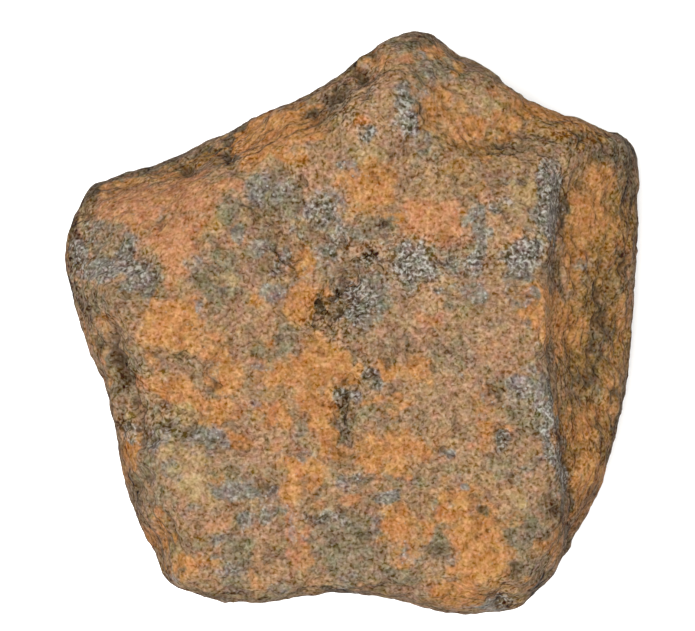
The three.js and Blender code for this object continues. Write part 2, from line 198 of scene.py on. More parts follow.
# where each kind of crust lies on the plan, by how fully it covers what is under it:
# x, y, half width, half length, and a turn in degrees if there is one; later kinds lie on top
stains = {
    "clay": {
        0.4: [(-33.6, 14.0, 4.7, 3.1), (-1.4, -27.7, 4.7, 3.1), (29.3, -37.1, 3.8, 2.8),
              (23.0, -19.1, 4.7, 4.7), (30.1, 22.6, 3.1, 2.2)],
        0.5: [(-28.9, -26.1, 3.5, 4.1), (5.7, 29.7, 3.1, 3.1), (4.9, 36.8, 2.5, 2.2),
              (18.3, 5.3, 6.3, 3.1), (12.0, 25.0, 4.7, 2.5), (4.9, -24.6, 6.3, 2.2)],
        0.6: [(-17.1, 3.7, 6.3, 4.7), (-16.3, -32.4, 6.9, 3.1), (15.1, -12.0, 7.9, 4.7),
              (23.0, 14.8, 2.5, 4.1), (12.0, 2.2, 5.7, 2.5), (-2.2, 12.4, 3.8, 4.1),
              (-24.2, 25.8, 4.1, 1.3, 20)],
        0.7: [(7.3, -2.5, 6.9, 3.8), (19.8, -4.1, 5.7, 4.7), (-14.0, -18.3, 6.3, 4.7),
              (-4.5, 22.6, 4.7, 2.8), (-18.7, -20.6, 4.7, 2.2)],
    },
    "olive": {
        0.4: [(6.5, -3.3, 3.8, 1.9), (-24.2, -34.8, 3.5, 1.9), (16.7, -23.0, 4.7, 2.2),
              (18.3, -1.0, 2.5, 2.5)],
        0.5: [(-25.8, -6.6, 3.8, 1.1, -5), (-29.7, -13.9, 3.8, 1.4), (27.7, -38.4, 3.5, 2.2),
              (9.6, 23.9, 1.9, 1.9), (12.8, 28.0, 2.2, 1.6), (16.7, 3.7, 3.5, 2.2), (4.1, 6.1, 3.5, 2.2),
              (-30.5, -27.7, 3.1, 4.1), (8.8, -24.6, 5.3, 1.9), (30.1, 28.9, 3.8, 1.9),
              (23.0, 27.3, 4.1, 1.3), (-38.1, 13.2, 4.1, 2.8), (42.6, 14.0, 1.3, 6.3)],
        0.6: [(-14.5, -4.9, 2.5, 1.9), (-32.1, -21.4, 1.9, 4.7), (-17.9, -24.6, 4.7, 3.1),
              (21.1, -9.1, 2.8, 2.2), (23.3, -22.0, 2.8, 2.5), (34.8, -13.6, 3.8, 1.9),
              (34.8, 28.9, 5.7, 1.3, -12), (11.2, 41.5, 1.6, 1.9), (-41.2, 3.3, 1.9, 3.8, 15),
              (15.9, -4.9, 4.1, 2.5), (-11.6, -41.9, 3.5, 1.6), (-32.1, 24.5, 9.4, 1.1, 15),
              (0.2, -0.7, 2.2, 1.6), (-8.5, 14.4, 1.4, 1.9)],
        0.7: [(-22.6, -9.6, 1.9, 1.4), (-1.4, -15.9, 1.9, 4.1), (27.7, -13.6, 3.8, 4.7),
              (3.3, 14.8, 4.1, 1.9), (42.6, 21.1, 1.3, 6.3)],
        0.8: [(-32.5, 5.3, 2.2, 3.5), (-10.8, -1.8, 2.5, 2.5), (-8.5, -16.7, 1.4, 1.9),
              (4.1, -14.3, 3.5, 1.6), (6.5, -39.0, 4.1, 2.2), (27.4, -32.4, 3.8, 3.1),
              (37.1, -9.6, 3.1, 2.2), (41.9, 27.3, 2.8, 2.8), (13.5, 40.2, 4.4, 2.4, -10),
              (8.8, 36.5, 1.9, 2.5), (7.3, 44.3, 2.2, 1.3), (-3.8, 34.4, 3.1, 2.5, 20),
              (-18.7, -37.9, 2.4, 6.0), (26.8, -35.2, 1.4, 1.4)],
        0.9: [(-19.8, 17.9, 2.5, 2.2), (-21.4, 7.7, 3.5, 5.3), (-27.4, -17.0, 5.7, 2.4),
              (13.2, -34.8, 2.5, 2.8), (19.8, 15.1, 1.4, 4.7), (38.7, 6.1, 4.1, 7.2),
              (38.7, -2.5, 3.5, 4.7), (-36.0, -7.6, 2.2, 5.3, 15)],
        0.95: [(-1.4, -34.8, 5.3, 5.3)],
        1.0: [(-12.4, 19.5, 4.4, 4.1)],
    },
    "tan": {
        0.4: [(-23.4, -27.7, 3.1, 1.6), (19.0, -13.6, 3.8, 3.1), (-16.3, -39.5, 2.2, 2.8),
              (27.7, 14.0, 2.2, 1.9), (32.0, -28.3, 0.9, 1.3)],
        0.5: [(-28.1, -35.6, 3.1, 1.9), (12.8, 30.5, 3.1, 1.9), (-3.8, -9.6, 2.2, 1.9),
              (-3.0, -3.3, 3.5, 1.9), (33.2, 25.5, 3.1, 1.4), (-27.4, -21.1, 2.8, 1.6),
              (14.3, 36.0, 4.1, 2.2), (-21.1, 6.9, 2.0, 1.1), (14.5, 30.2, 2.5, 1.3)],
        0.6: [(-28.9, -19.1, 2.2, 1.9), (22.2, 34.4, 4.7, 3.1, -15), (1.7, 25.0, 2.5, 3.5),
              (3.3, 27.7, 2.2, 1.6), (25.8, -42.8, 1.9, 0.9), (21.4, 39.1, 1.4, 0.8, -35),
              (18.3, 32.4, 6.0, 2.2, -12)],
        0.7: [(-19.5, 6.6, 1.6, 1.1), (-26.1, -4.4, 3.1, 0.8), (-21.8, -24.6, 1.9, 1.1),
              (4.2, 26.2, 1.3, 3.7), (13.0, 33.4, 1.9, 1.9)],
        0.8: [(26.1, 20.3, 2.5, 2.5), (20.6, 28.0, 1.9, 1.6), (-26.1, -13.2, 2.1, 1.7)],
        0.9: [(-25.5, -23.8, 2.5, 3.8), (26.1, -27.7, 1.6, 1.3), (-26.1, -14.1, 1.9, 1.7)],
    },
    "salmon": {
        0.4: [(-32.1, 2.2, 3.1, 1.9)],
        0.5: [(-17.9, 13.2, 1.6, 1.3), (-12.9, 4.5, 2.2, 2.2), (23.0, -4.1, 3.8, 2.2),
              (18.3, 17.9, 1.6, 3.1)],
        0.6: [(-21.8, -31.6, 2.2, 1.3), (19.8, -17.8, 1.7, 2.7), (6.0, 24.2, 1.6, 2.2)],
        0.7: [(8.4, 42.1, 2.2, 1.1), (-8.8, -34.0, 1.9, 4.4)],
        0.8: [(-25.0, 15.5, 2.8, 2.2), (-12.4, -19.4, 1.3, 1.3), (-10.5, -27.7, 1.7, 3.1),
              (-31.8, -9.1, 2.0, 2.0), (12.0, 0.9, 2.0, 1.6), (6.5, 16.6, 0.9, 1.4)],
        0.9: [(-34.4, 18.7, 6.0, 3.8), (-26.6, 20.3, 5.7, 2.8), (-19.8, 21.7, 3.1, 1.4),
              (-28.6, 12.4, 3.5, 4.7, 10), (-19.5, -13.4, 2.2, 1.7), (-0.6, -27.2, 1.9, 1.3)],
        1.0: [(12.8, 16.3, 5.7, 3.8)],
    },
    "umber": {
        0.5: [(23.0, -38.7, 3.1, 3.1), (-6.1, 32.1, 3.9, 3.1, 20)],
        0.6: [(-24.2, 25.8, 6.3, 1.6, 20), (15.1, -43.4, 4.7, 1.6), (-8.2, 24.9, 1.4, 1.4)],
        0.7: [(18.3, 28.1, 5.7, 2.2, -5), (-22.7, 15.4, 1.3, 1.3)],
        0.8: [(38.7, 14.8, 6.3, 11.0), (37.9, -2.5, 6.3, 10.2), (36.3, -18.3, 5.0, 9.4, -12),
              (32.4, 31.3, 9.4, 2.4, -20), (28.5, 32.9, 4.1, 2.2, -20), (37.1, -27.7, 2.4, 3.1, -20),
              (16.2, 24.2, 1.4, 0.9)],
        1.0: [(-23.6, 25.9, 4.9, 1.3, 22)],
    },
    "rust": {
        0.4: [(-41.5, -2.5, 0.9, 3.5, 20), (-28.7, 4.4, 2.2, 0.8), (-30.5, -7.3, 0.9, 1.3),
              (9.6, -20.0, 0.9, 2.8), (-22.2, -18.2, 2.2, 1.4), (4.0, -24.2, 1.3, 3.1),
              (-15.3, -37.0, 1.1, 1.1)],
        0.5: [(42.6, 2.2, 1.3, 4.7), (-14.8, -39.5, 1.9, 2.5), (23.0, 36.5, 3.1, 1.6, -30),
              (21.1, -12.0, 2.2, 3.1), (-32.9, -4.1, 1.7, 1.6), (41.1, -4.1, 0.9, 1.9),
              (42.2, 9.7, 0.9, 3.5), (20.9, 26.6, 1.6, 1.9), (10.4, -34.0, 1.6, 1.3),
              (10.4, 17.1, 1.3, 1.3), (-30.5, 23.7, 3.5, 0.8, 15), (-35.2, 15.1, 1.6, 1.3),
              (4.1, -12.8, 1.4, 1.1), (-20.3, -24.6, 1.4, 1.3), (-37.6, 1.4, 1.3, 1.1),
              (-39.2, -5.7, 0.9, 1.4), (-31.8, -5.7, 1.6, 1.9), (-10.1, 10.4, 1.4, 1.4),
              (-28.9, 6.9, 1.3, 2.5), (1.7, 17.6, 4.4, 0.9), (-13.2, -2.5, 1.4, 1.3),
              (20.1, 22.3, 1.6, 1.3), (10.1, 36.7, 1.7, 1.3), (12.9, 42.1, 1.3, 1.3),
              (-28.5, 23.4, 3.5, 1.3, 18), (-3.3, 17.9, 0.8, 2.5), (-3.2, 4.8, 1.1, 1.4),
              (-39.6, -0.5, 1.1, 3.1), (-38.1, -9.2, 0.9, 1.6), (5.2, -13.9, 1.6, 1.3),
              (-17.4, -24.6, 1.7, 0.9), (-5.5, -28.2, 1.3, 1.3), (25.1, -35.3, 1.3, 2.5),
              (22.8, -16.7, 1.1, 0.9)],
        0.6: [(-8.5, 26.6, 2.2, 1.9), (-23.4, -3.3, 4.1, 3.1), (-9.7, -26.1, 1.9, 2.5),
              (23.0, 31.7, 3.8, 2.2), (40.8, 15.5, 1.6, 2.8), (40.0, -11.2, 1.6, 3.8, -8),
              (10.4, -32.4, 3.1, 2.2), (30.5, -34.8, 2.2, 2.2), (12.3, 43.2, 2.5, 1.4, -30),
              (-0.9, -19.5, 2.2, 1.3), (25.2, 14.4, 1.6, 1.3), (32.4, 11.9, 1.1, 1.4),
              (-2.2, -9.6, 1.3, 1.3), (41.9, -1.8, 0.9, 1.6), (32.4, 17.1, 1.6, 1.9),
              (34.0, 11.9, 1.9, 1.3), (31.8, -13.6, 1.6, 1.9), (34.0, -19.1, 1.6, 1.4),
              (38.1, -26.1, 1.4, 2.5, -20), (16.4, 40.6, 1.6, 0.8, -15), (25.3, -30.9, 1.6, 1.3),
              (24.6, -39.0, 1.9, 1.3), (33.2, -30.9, 1.3, 1.9), (-38.1, 21.5, 3.8, 0.8, 20),
              (20.9, -16.4, 2.2, 1.3), (-6.1, -25.4, 1.4, 1.3), (-31.0, -30.9, 1.1, 3.8, -12),
              (-5.3, 4.9, 1.3, 1.1), (0.5, 38.6, 0.9, 0.8), (23.9, -17.0, 1.4, 0.9),
              (31.4, -13.3, 1.1, 1.9), (32.6, -18.5, 1.6, 1.4), (28.4, -41.0, 1.1, 0.9),
              (16.9, -44.3, 1.1, 1.3)],
        0.7: [(-14.5, -13.6, 2.2, 1.7), (13.5, 33.6, 4.1, 4.1), (38.7, 22.9, 3.1, 2.8),
              (8.0, -36.4, 2.5, 1.6), (5.7, -12.1, 4.1, 0.9), (-23.4, -37.1, 1.9, 1.3),
              (3.3, 41.5, 1.6, 1.4), (23.0, 28.9, 1.9, 1.1), (1.7, 31.6, 1.3, 1.1),
              (-6.1, 33.6, 1.1, 0.8), (33.2, -19.1, 1.4, 1.9), (29.0, 33.3, 1.9, 0.8, -15),
              (32.0, -14.3, 0.9, 1.9), (26.7, 35.5, 1.9, 0.8, -35)],
        0.8: [(-20.3, -8.8, 2.8, 3.5), (-10.1, -8.0, 5.7, 3.1), (-7.2, -12.0, 2.2, 2.5),
              (2.5, 21.8, 4.7, 3.8), (18.6, 31.1, 2.8, 2.5), (35.9, -16.7, 3.5, 3.5),
              (15.9, -28.5, 3.8, 3.8), (6.5, -31.6, 3.5, 3.5), (9.8, -7.3, 2.8, 2.2),
              (-45.0, 10.8, 0.9, 1.9), (31.6, -4.1, 0.9, 2.5), (-10.8, 26.1, 1.7, 1.4),
              (-35.2, 22.3, 2.2, 0.9, 17), (-3.0, -18.3, 1.1, 1.4), (-5.3, 4.1, 0.9, 1.1),
              (30.5, 3.7, 1.3, 1.9), (34.4, 0.4, 1.7, 1.9), (31.3, -2.8, 0.9, 1.9),
              (-10.7, 10.0, 1.1, 1.1), (16.4, -44.1, 1.9, 0.9, -5)],
        0.9: [(-9.7, 31.7, 3.8, 2.4, 22), (-28.6, -0.2, 5.3, 4.1), (-28.1, -10.4, 4.4, 1.9, -15),
              (-23.4, -12.8, 3.5, 1.6, -10), (-4.5, -5.7, 3.8, 4.1), (-5.3, -15.8, 1.6, 5.3, 5),
              (-7.7, -23.0, 3.5, 1.9), (-7.7, 10.0, 2.2, 2.2), (-7.7, 3.7, 3.1, 2.8),
              (-15.4, 3.4, 1.4, 1.3), (31.6, 33.2, 7.2, 1.4, -21), (34.5, 10.0, 1.7, 5.3),
              (27.7, 4.1, 2.8, 2.5), (32.7, -0.3, 3.1, 3.8), (37.1, -23.3, 2.7, 3.1, -15),
              (15.9, -42.2, 4.4, 1.9), (-26.6, -38.2, 2.5, 2.2), (-35.5, -20.9, 1.4, 4.1, -12),
              (-22.3, -15.1, 2.5, 1.3), (-12.1, -14.3, 1.9, 2.7), (6.9, -23.0, 1.9, 1.3),
              (2.5, -22.2, 1.9, 1.1), (17.5, -43.9, 2.5, 0.9), (27.7, 33.6, 1.9, 1.6),
              (16.7, 29.2, 1.6, 1.3), (1.0, 39.1, 0.9, 1.3), (-6.9, 29.7, 1.9, 1.4),
              (0.2, -8.0, 1.6, 1.3), (-3.5, -12.0, 1.5, 3.1), (5.2, -6.8, 2.6, 1.7),
              (-22.1, -4.5, 1.8, 1.7), (-18.4, -18.0, 2.1, 1.2), (5.9, 16.4, 1.1, 1.1)],
        0.95: [(6.5, -19.5, 6.3, 2.5)],
        1.0: [(-14.5, 29.2, 6.3, 3.5, 22), (36.7, 17.1, 3.1, 4.1), (19.8, -34.8, 4.7, 6.3),
              (36.4, -28.2, 1.8, 2.9, -26), (32.4, -0.2, 1.6, 1.9), (-10.3, 30.6, 4.9, 1.7, 28),
              (32.0, 15.4, 1.8, 3.4), (27.6, 1.1, 1.8, 1.2), (39.0, -23.8, 1.2, 1.8, -20),
              (-31.3, -34.0, 2.2, 1.5)],
    },
    "slate": {
        0.3: [(-24.7, -20.5, 6.9, 1.3)],
        0.35: [(0.2, 23.4, 1.7, 1.3), (-10.8, 6.9, 3.1, 1.3), (15.1, -27.7, 1.9, 1.4),
               (13.5, 25.0, 1.9, 1.4)],
        0.4: [(29.3, -4.1, 1.3, 2.2), (-39.2, 10.8, 3.1, 1.6), (8.0, -36.4, 1.4, 1.3),
              (-21.8, -8.0, 1.7, 1.3), (-28.9, -23.0, 1.6, 1.9), (22.2, -12.0, 1.1, 1.1),
              (3.8, 8.5, 1.4, 2.2), (19.8, 13.2, 1.4, 2.5), (28.5, 7.7, 0.9, 1.1), (15.4, -7.9, 2.2, 1.1),
              (22.2, -11.5, 2.8, 1.1), (10.4, 27.3, 1.3, 3.5), (2.5, 35.2, 1.3, 1.1),
              (-22.6, -20.2, 2.2, 1.1), (-23.4, -29.0, 2.5, 0.9), (-6.9, -33.2, 1.4, 1.1),
              (-20.3, -38.7, 1.9, 1.9), (-1.4, -40.3, 1.6, 0.9), (10.4, -37.1, 2.8, 0.9),
              (-30.7, 16.9, 1.4, 1.7), (-24.7, 15.7, 0.8, 1.6), (-25.5, 9.1, 1.3, 2.5, -15),
              (0.9, 13.4, 0.8, 1.1), (5.6, 7.3, 0.9, 1.7), (24.8, 5.2, 1.4, 1.4), (6.4, 28.8, 1.1, 1.6),
              (2.9, 36.4, 0.9, 1.1), (13.7, -8.4, 1.1, 1.3), (25.1, -12.1, 2.8, 0.9),
              (-27.5, -24.1, 1.1, 1.3), (-26.0, -29.1, 1.4, 1.3), (-6.8, -21.2, 1.3, 0.9),
              (4.5, -31.4, 0.9, 2.5), (-0.7, -39.3, 2.8, 0.9), (-18.1, -42.8, 1.9, 0.9),
              (16.3, 18.7, 0.9, 1.1)],
        0.45: [(15.4, -37.1, 1.1, 1.1), (27.7, -23.0, 2.5, 1.9), (0.6, 2.2, 2.2, 1.4)],
        0.5: [(-3.8, 10.5, 3.5, 3.5), (-11.3, 9.7, 1.6, 2.8), (-40.7, 14.0, 2.2, 2.5),
              (-9.1, 14.4, 1.3, 1.6), (25.8, 22.9, 3.5, 1.1), (17.5, 8.8, 3.5, 2.5),
              (19.8, 16.0, 1.3, 3.8), (-7.7, 8.2, 1.1, 1.1), (-14.5, -6.6, 1.9, 0.9),
              (-21.8, -19.8, 2.5, 0.8), (-20.3, -39.5, 2.5, 1.4), (-3.8, 11.6, 1.6, 1.4),
              (-8.5, 17.1, 1.3, 1.3), (-32.9, 3.0, 1.3, 1.3), (-43.4, 8.8, 1.1, 2.2),
              (-24.2, 4.1, 1.3, 1.1), (15.9, 5.3, 2.2, 1.1), (26.1, 3.7, 2.2, 1.4),
              (26.9, -0.2, 0.9, 0.9), (26.9, -6.5, 1.3, 1.3), (10.4, 42.3, 1.3, 0.9),
              (0.2, 23.4, 1.3, 1.1), (-15.6, -12.8, 1.3, 1.1), (-28.6, -21.9, 1.6, 1.4),
              (-11.6, -30.1, 1.3, 1.9), (4.1, -30.9, 1.3, 1.9), (-27.7, -39.5, 1.4, 1.3),
              (-11.3, -41.4, 2.2, 0.9), (-19.5, 29.7, 1.3, 0.8, 20), (-7.8, 8.9, 1.1, 1.4),
              (-24.9, 2.7, 1.1, 0.8), (5.0, 12.7, 1.4, 1.1), (12.9, 5.5, 1.3, 0.9),
              (11.5, 29.1, 1.3, 1.6), (9.8, 42.9, 1.3, 0.6), (27.6, 14.1, 1.9, 1.1),
              (36.0, 9.2, 1.1, 1.4), (-22.4, -36.9, 1.1, 0.9), (-27.0, -39.1, 0.9, 1.3),
              (-35.0, -17.6, 0.8, 1.4), (1.5, 29.8, 0.9, 1.9), (12.1, 39.3, 1.3, 1.1),
              (-38.1, 8.4, 2.8, 1.4)],
        0.55: [(3.8, -32.1, 1.4, 1.7), (-9.4, -32.3, 1.0, 2.0)],
        0.6: [(-1.4, 14.0, 3.1, 2.2), (-14.5, 11.6, 2.8, 1.9), (23.3, 18.7, 2.2, 1.4),
              (-4.5, -30.5, 3.5, 1.3), (-0.6, -24.3, 2.8, 1.3), (-1.4, 24.8, 1.9, 1.3),
              (-21.8, -34.3, 1.9, 1.3), (-31.3, -18.0, 2.5, 2.0), (-35.5, -16.7, 1.1, 2.2),
              (4.9, 15.5, 1.3, 1.9), (-0.6, -41.1, 1.3, 0.8), (3.3, 0.9, 1.7, 1.3), (18.3, 5.0, 2.5, 1.1),
              (-42.3, 10.8, 0.9, 1.9), (-13.2, -27.7, 2.0, 1.3), (18.3, 17.1, 1.3, 1.6),
              (27.7, -7.3, 1.3, 1.6), (-10.8, 21.1, 2.2, 1.9), (4.1, -8.5, 0.9, 0.9),
              (-41.5, 13.2, 1.1, 1.3), (-13.3, -30.0, 3.1, 1.9), (13.5, -28.7, 1.4, 1.4),
              (16.6, -26.1, 1.1, 1.1), (15.8, -36.8, 1.3, 1.3)],
        0.7: [(-4.5, 17.9, 3.5, 3.1), (-32.9, 6.1, 2.2, 2.2), (14.8, 9.7, 2.8, 1.6),
              (-1.4, 5.3, 1.9, 1.9), (2.8, -8.8, 1.4, 1.9), (32.1, -23.0, 1.3, 6.0, 5),
              (28.2, 4.2, 1.1, 1.1), (2.5, 9.3, 1.3, 1.4), (4.9, 6.1, 1.4, 1.1), (20.2, 15.2, 1.1, 4.9),
              (19.7, 4.7, 1.6, 1.6)],
        0.8: [(8.8, 32.8, 2.8, 5.0), (3.0, 29.6, 1.2, 1.9), (2.5, 4.1, 3.8, 3.0),
              (-23.4, -18.6, 3.5, 1.5), (-17.9, -26.1, 4.4, 2.2), (-17.1, -31.3, 1.3, 1.9),
              (-0.6, -11.7, 2.2, 1.1), (30.1, -14.3, 1.6, 6.9, 4), (23.3, -18.4, 1.4, 1.3),
              (14.6, -20.6, 1.4, 0.9), (-36.0, 8.5, 1.9, 1.3), (20.6, -44.1, 1.9, 0.9),
              (-1.1, -12.0, 1.7, 0.9), (-17.7, 13.8, 1.1, 1.7), (-12.3, 5.2, 2.4, 1.9),
              (1.1, 1.3, 2.0, 1.9), (-2.6, 11.2, 1.1, 2.6), (21.5, 13.7, 0.9, 1.1)],
        0.9: [(-15.1, 21.1, 1.9, 3.1), (-39.9, 8.8, 3.1, 2.2), (-35.5, 11.1, 1.9, 3.1),
              (9.3, 9.3, 3.5, 3.8), (26.4, 10.0, 3.8, 3.1), (30.5, 18.7, 2.2, 6.9, 3),
              (4.9, -27.1, 2.2, 0.9), (26.4, -9.8, 2.8, 2.5), (22.5, -43.4, 2.4, 1.4),
              (-2.2, 1.7, 0.8, 0.8), (-34.6, 8.0, 1.9, 2.3, -20), (19.9, 10.6, 1.3, 1.6),
              (-43.0, 11.2, 1.3, 1.6)],
        1.0: [(9.2, 31.6, 2.2, 2.6)],
    },
    # dark crust, and painted shade along the steep outline and in dark crevices
    "darkCrustAndShade": {
        0.25: [(-22.8, 15.6, 0.9, 0.9), (26.0, -31.1, 1.4, 2.2)],
        0.3: [(-23.4, -19.2, 1.9, 1.1), (15.1, 23.4, 1.6, 0.8), (-3.8, 11.6, 1.4, 1.3),
              (0.2, -1.0, 1.3, 1.3), (-14.0, 21.8, 0.9, 0.9), (-6.1, 18.3, 0.6, 0.9),
              (32.1, 27.9, 1.3, 1.3), (41.6, 17.6, 0.8, 2.2), (-5.6, 17.7, 0.9, 1.1)],
        0.35: [(24.9, 27.3, 3.5, 0.6), (21.4, 38.0, 2.2, 1.1, -35), (38.2, -27.7, 1.3, 4.7, -25),
               (2.5, 9.3, 0.9, 1.1), (32.4, 27.3, 1.6, 1.4)],
        0.4: [(-3.4, 2.5, 2.2, 1.6, -10), (1.7, -33.5, 1.6, 1.9), (-13.5, -25.8, 1.6, 1.3),
              (2.2, -8.0, 1.6, 1.4), (-8.5, 22.3, 0.8, 2.2), (-8.5, 12.4, 0.9, 1.6),
              (-31.8, 6.1, 1.6, 1.3), (-30.5, -4.9, 1.6, 0.8), (-1.4, 12.4, 0.9, 1.4),
              (12.3, -7.3, 1.1, 0.8), (14.6, -20.6, 0.9, 0.9), (24.9, -23.9, 1.1, 1.1),
              (2.8, -8.0, 1.3, 2.2), (6.9, 9.7, 0.5, 3.5), (22.2, -12.0, 0.9, 0.9), (1.7, -0.2, 0.8, 1.1),
              (26.1, -2.5, 0.8, 0.9), (17.6, 19.7, 2.4, 1.3)],
        0.45: [(26.6, -33.6, 1.3, 2.2), (-26.9, -39.0, 1.3, 1.1), (-12.4, -40.7, 1.3, 0.9)],
        0.5: [(-1.4, -12.8, 1.1, 3.5, 5), (13.7, -35.3, 1.4, 1.4), (25.8, -38.4, 2.2, 1.9),
              (-30.5, -34.8, 0.9, 3.1, 25), (31.8, 5.3, 0.8, 1.3), (31.0, -4.9, 0.6, 2.2),
              (31.6, -39.5, 1.3, 3.1, -35), (-22.6, -9.5, 0.9, 0.9), (-38.7, 21.4, 1.6, 0.8, -20),
              (-14.5, 17.6, 2.2, 0.6, -35), (-0.9, 11.6, 0.8, 1.9), (0.2, -5.4, 0.9, 1.4),
              (37.5, -26.1, 1.3, 0.9), (32.6, -20.6, 0.6, 3.1, 5), (22.4, -11.2, 0.9, 0.8),
              (-3.2, 11.7, 1.7, 1.9), (4.3, 7.6, 1.3, 1.1), (1.9, -0.6, 1.4, 0.9), (5.5, -5.5, 1.4, 0.8),
              (28.1, 3.0, 1.1, 1.3), (30.6, -32.2, 1.1, 1.4), (-3.0, -23.5, 0.9, 1.3)],
        0.6: [(-39.9, -4.1, 0.9, 3.1, 10), (-6.0, 32.7, 1.4, 1.3), (40.3, 26.1, 3.8, 2.2, -30),
              (38.7, -1.0, 2.2, 6.9, -6), (-26.3, 24.5, 1.4, 1.1), (21.9, -10.4, 1.4, 1.1),
              (23.0, -18.6, 0.9, 1.1), (20.0, -29.8, 1.3, 1.4), (31.8, -29.3, 1.9, 2.2),
              (-0.6, -41.9, 7.9, 0.8), (-19.5, -43.1, 7.9, 0.8), (-33.2, -16.7, 0.9, 2.2),
              (42.6, 9.3, 1.3, 3.1), (31.2, 9.3, 0.9, 1.9), (32.9, -19.8, 0.6, 3.8, 5),
              (33.7, -27.4, 0.8, 3.1, 5), (8.7, -4.1, 0.9, 0.9), (10.4, 44.6, 4.7, 0.9),
              (41.9, -15.1, 1.1, 6.3, -12), (-24.2, 26.9, 2.2, 0.8, 20), (-8.0, 20.3, 0.6, 2.2),
              (-3.1, -1.8, 0.9, 1.6), (31.0, 14.4, 0.6, 1.6), (37.1, -8.8, 2.5, 1.1),
              (-37.1, -15.9, 0.9, 1.9, 12), (-17.9, 30.5, 1.9, 0.6, 25), (1.9, -7.6, 0.4, 2.2, 16),
              (-1.1, -14.3, 0.4, 1.3), (40.7, -11.3, 1.3, 1.1), (-37.0, -15.0, 0.9, 2.5, -10),
              (-1.3, 3.0, 1.9, 1.3), (3.6, -32.3, 0.9, 0.9)],
        0.7: [(-32.1, 24.9, 9.4, 1.0, 15), (-42.3, 2.2, 0.9, 3.9, 15), (-3.0, 35.5, 3.1, 1.9, 30),
              (32.7, 17.9, 0.8, 6.3, 3), (35.6, 29.4, 1.9, 0.9), (36.8, -8.0, 1.9, 2.5),
              (23.2, -43.4, 2.0, 1.3), (34.0, -34.0, 1.3, 2.2, -30), (-34.4, -25.4, 0.9, 3.5, 12),
              (-5.3, 3.3, 0.8, 1.4, -30), (-23.7, 26.8, 3.7, 0.7, 22), (3.0, 42.4, 1.4, 0.9, 30)],
        0.75: [(-3.4, 3.4, 3.5, 0.6, 40)],
        0.8: [(-41.8, 20.3, 1.3, 2.8, -35), (-44.3, 12.4, 0.9, 4.7), (1.3, 38.7, 1.4, 1.6),
              (43.7, 22.6, 0.9, 4.7), (-2.2, 2.2, 1.7, 1.3), (43.0, 27.0, 1.2, 1.4),
              (-19.2, 27.2, 0.6, 1.1, -15)],
        0.9: [(-36.5, -6.9, 1.4, 4.7, 18), (4.7, 15.4, 1.1, 1.3), (2.4, 10.5, 0.9, 1.4),
              (28.9, -41.2, 1.8, 0.8, 45), (-3.0, -41.7, 2.5, 0.8), (22.9, -11.2, 0.9, 0.9)],
        0.95: [(-0.6, 40.7, 4.5, 0.8, 33), (-19.3, 29.8, 2.1, 1.0, 22)],
        1.0: [(-19.8, 26.2, 1.1, 1.7), (-44.7, 5.9, 1.0, 2.2, 10)],
    },
}

# where the crust is rough, laid out like the stains
roughPlaces = {
    0.3: [(-1.4, -15.9, 1.3, 3.1), (-3.8, -30.9, 3.1, 1.9), (16.7, -6.0, 3.1, 1.6),
          (42.6, 11.6, 1.6, 7.9), (-1.4, 36.8, 4.7, 3.1), (-38.1, 8.4, 2.2, 1.3)],
    0.4: [(23.0, 19.5, 2.2, 1.6), (23.0, 27.3, 2.5, 1.6), (-13.2, 17.9, 3.5, 1.9, -40),
          (-10.1, 14.8, 1.9, 1.9), (-8.5, 23.4, 1.9, 2.5), (-34.4, 9.7, 4.1, 2.5, -30),
          (-32.1, -15.9, 3.1, 3.1), (37.9, -19.8, 2.8, 3.1), (37.9, -12.3, 1.9, 1.9),
          (27.7, -12.0, 4.7, 1.6, -15), (23.0, -18.3, 2.2, 2.2), (41.1, 27.3, 3.1, 2.5),
          (-25.8, -5.4, 2.5, 1.6), (1.7, -7.3, 2.2, 2.2), (30.8, -2.5, 1.6, 4.7)],
    0.5: [(2.8, 38.4, 2.2, 2.2), (-1.4, 12.4, 2.2, 2.5), (15.1, 10.4, 3.1, 1.6), (17.0, 13.2, 1.6, 1.6),
          (12.8, 25.3, 2.2, 1.6), (-26.1, 25.0, 1.6, 1.6), (-31.3, 23.4, 2.2, 1.6),
          (-11.3, 8.8, 1.6, 1.6), (-43.1, 3.7, 2.2, 4.7, 15), (-34.4, -8.8, 2.5, 2.5),
          (-28.9, -15.4, 3.1, 2.5), (34.8, -31.6, 2.2, 3.8), (30.1, -39.5, 2.2, 3.1)],
    0.6: [(8.0, 32.8, 2.2, 3.5), (30.2, 14.0, 2.2, 3.1), (-17.9, 27.3, 2.5, 1.9), (-5.3, 17.6, 1.9, 1.9),
          (-43.1, 13.2, 2.2, 6.3), (-1.4, -12.0, 2.2, 2.2), (31.8, -19.1, 2.2, 3.8, -30),
          (33.4, -23.8, 2.2, 3.8), (33.2, 29.7, 4.7, 1.9, -15), (7.8, 30.3, 1.6, 2.2),
          (1.5, 29.8, 0.9, 1.6)],
    0.7: [(2.5, 30.3, 2.2, 2.5), (-2.2, -1.0, 2.2, 2.5), (26.1, 10.7, 3.8, 2.8), (19.9, 9.7, 1.1, 0.9),
          (9.2, 31.6, 1.9, 2.2)],
    0.8: [(-0.6, 34.0, 2.2, 2.5), (-0.3, 3.7, 3.1, 3.1), (2.8, 10.8, 2.5, 2.5), (19.0, 9.7, 2.0, 2.0),
          (30.8, 23.4, 2.8, 3.8), (31.2, 20.3, 1.9, 2.2), (-35.2, -15.9, 2.2, 2.5),
          (29.3, -14.8, 2.8, 2.5, -35), (24.2, -42.2, 2.2, 2.2), (30.1, 19.5, 0.9, 3.5)],
    0.9: [(-5.3, 1.4, 2.8, 3.5)],
    1.0: [(9.1, 9.7, 4.1, 4.1)],
}
